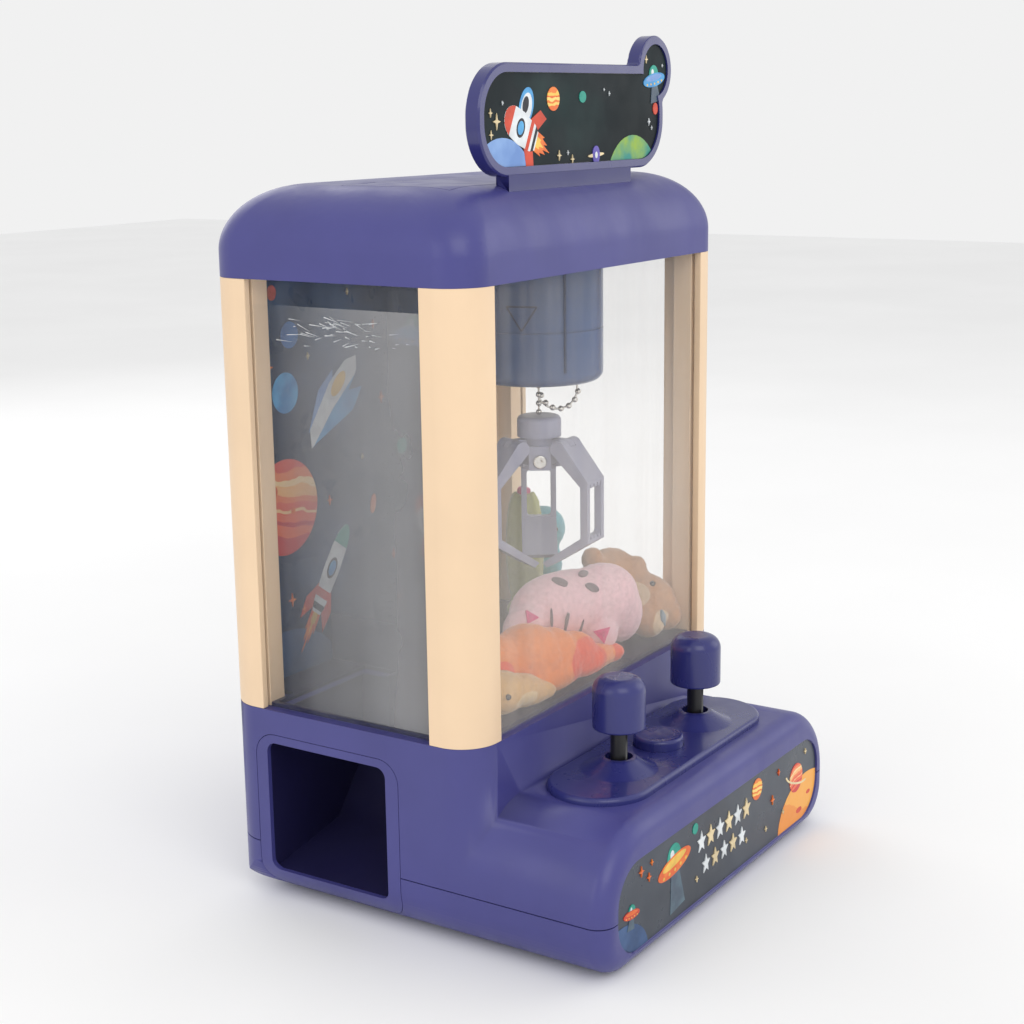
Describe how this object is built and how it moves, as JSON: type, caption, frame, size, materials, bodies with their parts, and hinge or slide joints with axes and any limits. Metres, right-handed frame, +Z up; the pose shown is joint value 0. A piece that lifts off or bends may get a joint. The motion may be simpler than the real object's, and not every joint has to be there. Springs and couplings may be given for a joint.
{
  "type": "toy claw crane machine",
  "caption": "Tabletop toy claw crane machine: glazed cabinet on a base with side prize exit and front console, overhead gantry, winched three-finger claw and soft prizes.",
  "frame": {"origin": "centre of the footprint, on the surface the machine stands on", "axes": "+Z up; the console faces -Y; the prize exit is on the -X side"},
  "size_m": [0.23, 0.208, 0.4],
  "materials": {
    "body_plastic": "satin moulded ABS, fine mould texture",
    "control_plastic": "polished injection moulding",
    "cream_plastic": "satin moulded ABS",
    "chute_plastic": "satin moulded",
    "grey_plastic": "satin moulded",
    "housing_plastic": "satin translucent moulding",
    "black_plastic": "satin",
    "clear_pane": "clear extruded sheet",
    "print_dark": "printed film",
    "sign_print": "printed film",
    "steel": "drawn rod",
    "nickel": "plated",
    "rubber": "matt",
    "board_green": "solder mask",
    "cell_wrap": "printed wrap",
    "plush_pink": "short pile plush",
    "plush_orange": "short pile plush",
    "plush_tan": "short pile plush",
    "plush_brown": "short pile plush",
    "plush_blue": "short pile plush",
    "plush_green": "short pile plush"
  },
  "bodies": {
    "cabinet": {"back_wall": "print_dark", "backdrop_print": "print_dark", "base_shell": "body_plastic", "base_tray": "body_plastic", "battery_box": "black_plastic", "battery_cells": "cell_wrap", "battery_door": "body_plastic", "case_screws": "steel", "chute_fence": "chute_plastic", "chute_frame": "body_plastic", "circuit_board": "board_green", "column_front_left": "cream_plastic", "column_front_right": "cream_plastic", "column_rear_left": "cream_plastic", "column_rear_right": "cream_plastic", "console_sign": "sign_print", "control_panel": "control_plastic", "gantry_frame": "grey_plastic", "joystick_sockets": "black_plastic", "play_floor": "chute_plastic", "prize_bear": "plush_brown", "prize_bun": "plush_tan", "prize_cactus": "plush_green", "prize_cat": "plush_pink", "prize_chute": "chute_plastic", "prize_fish": "plush_orange", "prize_octopus": "plush_blue", "roof_cap": "body_plastic", "rubber_feet": "rubber", "side_rails": "steel", "speaker": "steel", "topper_print": "print_dark", "topper_shell": "body_plastic", "window_front": "clear_pane", "window_left": "clear_pane", "window_right": "clear_pane"},
    "roof_hatch": {"roof_hatch": "body_plastic"},
    "bridge": {"bridge_blocks": "grey_plastic", "bridge_rods": "steel", "bridge_motor": "steel"},
    "bridge_axle": {"bridge_axle": "steel"},
    "carriage": {"carriage_plate": "grey_plastic", "claw_housing": "housing_plastic", "winch_motor": "steel"},
    "carriage_axle": {"carriage_axle": "steel"},
    "winch_drum": {"winch_drum": "grey_plastic"},
    "claw": {"claw_chain": "nickel", "claw_hub": "grey_plastic", "claw_screws": "nickel"},
    "finger_1": {"claw_finger_1": "grey_plastic"},
    "finger_2": {"claw_finger_2": "grey_plastic"},
    "finger_3": {"claw_finger_3": "grey_plastic"},
    "gimbal_left": {"gimbal_ring_left": "black_plastic"},
    "gimbal_right": {"gimbal_ring_right": "black_plastic"},
    "stick_left": {"joystick_shaft_left": "black_plastic", "joystick_knob_left": "control_plastic"},
    "stick_right": {"joystick_shaft_right": "black_plastic", "joystick_knob_right": "control_plastic"},
    "start_button": {"start_button": "control_plastic"},
    "power_switch": {"power_switch": "black_plastic"}
  },
  "joints": [
    {"name": "hatch_hinge", "type": "hinge", "parent": "cabinet", "child": "roof_hatch", "pos_m": [0, 0.0465, 0.3338], "axis": [-1, 0, 0], "range_deg": [0, 100]},
    {"name": "bridge_slide", "type": "slide", "parent": "cabinet", "child": "bridge", "axis": [0, 1, 0], "range_m": [-0.005, 0.034]},
    {"name": "bridge_axle_spin", "type": "hinge", "parent": "bridge", "child": "bridge_axle", "pos_m": [0, 0.038, 0.3116], "axis": [1, 0, 0], "range_deg": [-392, 60]},
    {"name": "carriage_slide", "type": "slide", "parent": "bridge", "child": "carriage", "axis": [1, 0, 0], "range_m": [-0.092, 0.038]},
    {"name": "carriage_axle_spin", "type": "hinge", "parent": "carriage", "child": "carriage_axle", "pos_m": [0.027, 0.016, 0.3236], "axis": [0, 1, 0], "range_deg": [-1060, 440]},
    {"name": "claw_lift", "type": "slide", "parent": "carriage", "child": "claw", "axis": [0, 0, -1], "range_m": [0, 0.04], "deforming": ["prize_bear", "prize_bun", "prize_cactus", "prize_cat", "prize_fish", "prize_octopus"]},
    {"name": "winch_spin", "type": "hinge", "parent": "carriage", "child": "winch_drum", "pos_m": [0.027, 0.0257, 0.283], "axis": [1, 0, 0], "range_deg": [0, 250]},
    {"name": "finger_1_hinge", "type": "hinge", "parent": "claw", "child": "finger_1", "pos_m": [0.03952, 0.02426, 0.203], "axis": [0.5505, -0.8348, 0], "range_deg": [0, 15]},
    {"name": "finger_2_hinge", "type": "hinge", "parent": "claw", "child": "finger_2", "pos_m": [0.01359, 0.02272, 0.203], "axis": [0.4478, 0.8942, 0], "range_deg": [0, 15]},
    {"name": "finger_3_hinge", "type": "hinge", "parent": "claw", "child": "finger_3", "pos_m": [0.02789, 0.00103, 0.203], "axis": [-0.9982, -0.0593, 0], "range_deg": [0, 15]},
    {"name": "stick_left_tilt_y", "type": "hinge", "parent": "cabinet", "child": "gimbal_left", "pos_m": [-0.038, -0.0667, 0.064], "axis": [1, 0, 0], "range_deg": [-8, 8], "stiffness_Nm_per_rad": 0.05},
    {"name": "stick_left_tilt_x", "type": "hinge", "parent": "gimbal_left", "child": "stick_left", "pos_m": [-0.038, -0.0667, 0.064], "axis": [0, 1, 0], "range_deg": [-8, 8], "stiffness_Nm_per_rad": 0.05},
    {"name": "stick_right_tilt_y", "type": "hinge", "parent": "cabinet", "child": "gimbal_right", "pos_m": [0.038, -0.0667, 0.064], "axis": [1, 0, 0], "range_deg": [-8, 8], "stiffness_Nm_per_rad": 0.05},
    {"name": "stick_right_tilt_x", "type": "hinge", "parent": "gimbal_right", "child": "stick_right", "pos_m": [0.038, -0.0667, 0.064], "axis": [0, 1, 0], "range_deg": [-8, 8], "stiffness_Nm_per_rad": 0.05},
    {"name": "start_press", "type": "slide", "parent": "cabinet", "child": "start_button", "axis": [0, 0, -1], "range_m": [0, 0.0025], "stiffness_N_per_m": 150, "springref_m": -0.001},
    {"name": "power_slide", "type": "slide", "parent": "cabinet", "child": "power_switch", "axis": [1, 0, 0], "range_m": [0, 0.005]}
  ],
  "couplings": [
    {"joint": "bridge_axle_spin", "follows": "bridge_slide", "rad_per_m": -200},
    {"joint": "carriage_axle_spin", "follows": "carriage_slide", "rad_per_m": 200},
    {"joint": "winch_spin", "follows": "claw_lift", "rad_per_m": 105.26},
    {"joint": "finger_2_hinge", "follows": "finger_1_hinge", "ratio": 1},
    {"joint": "finger_3_hinge", "follows": "finger_1_hinge", "ratio": 1}
  ]
}
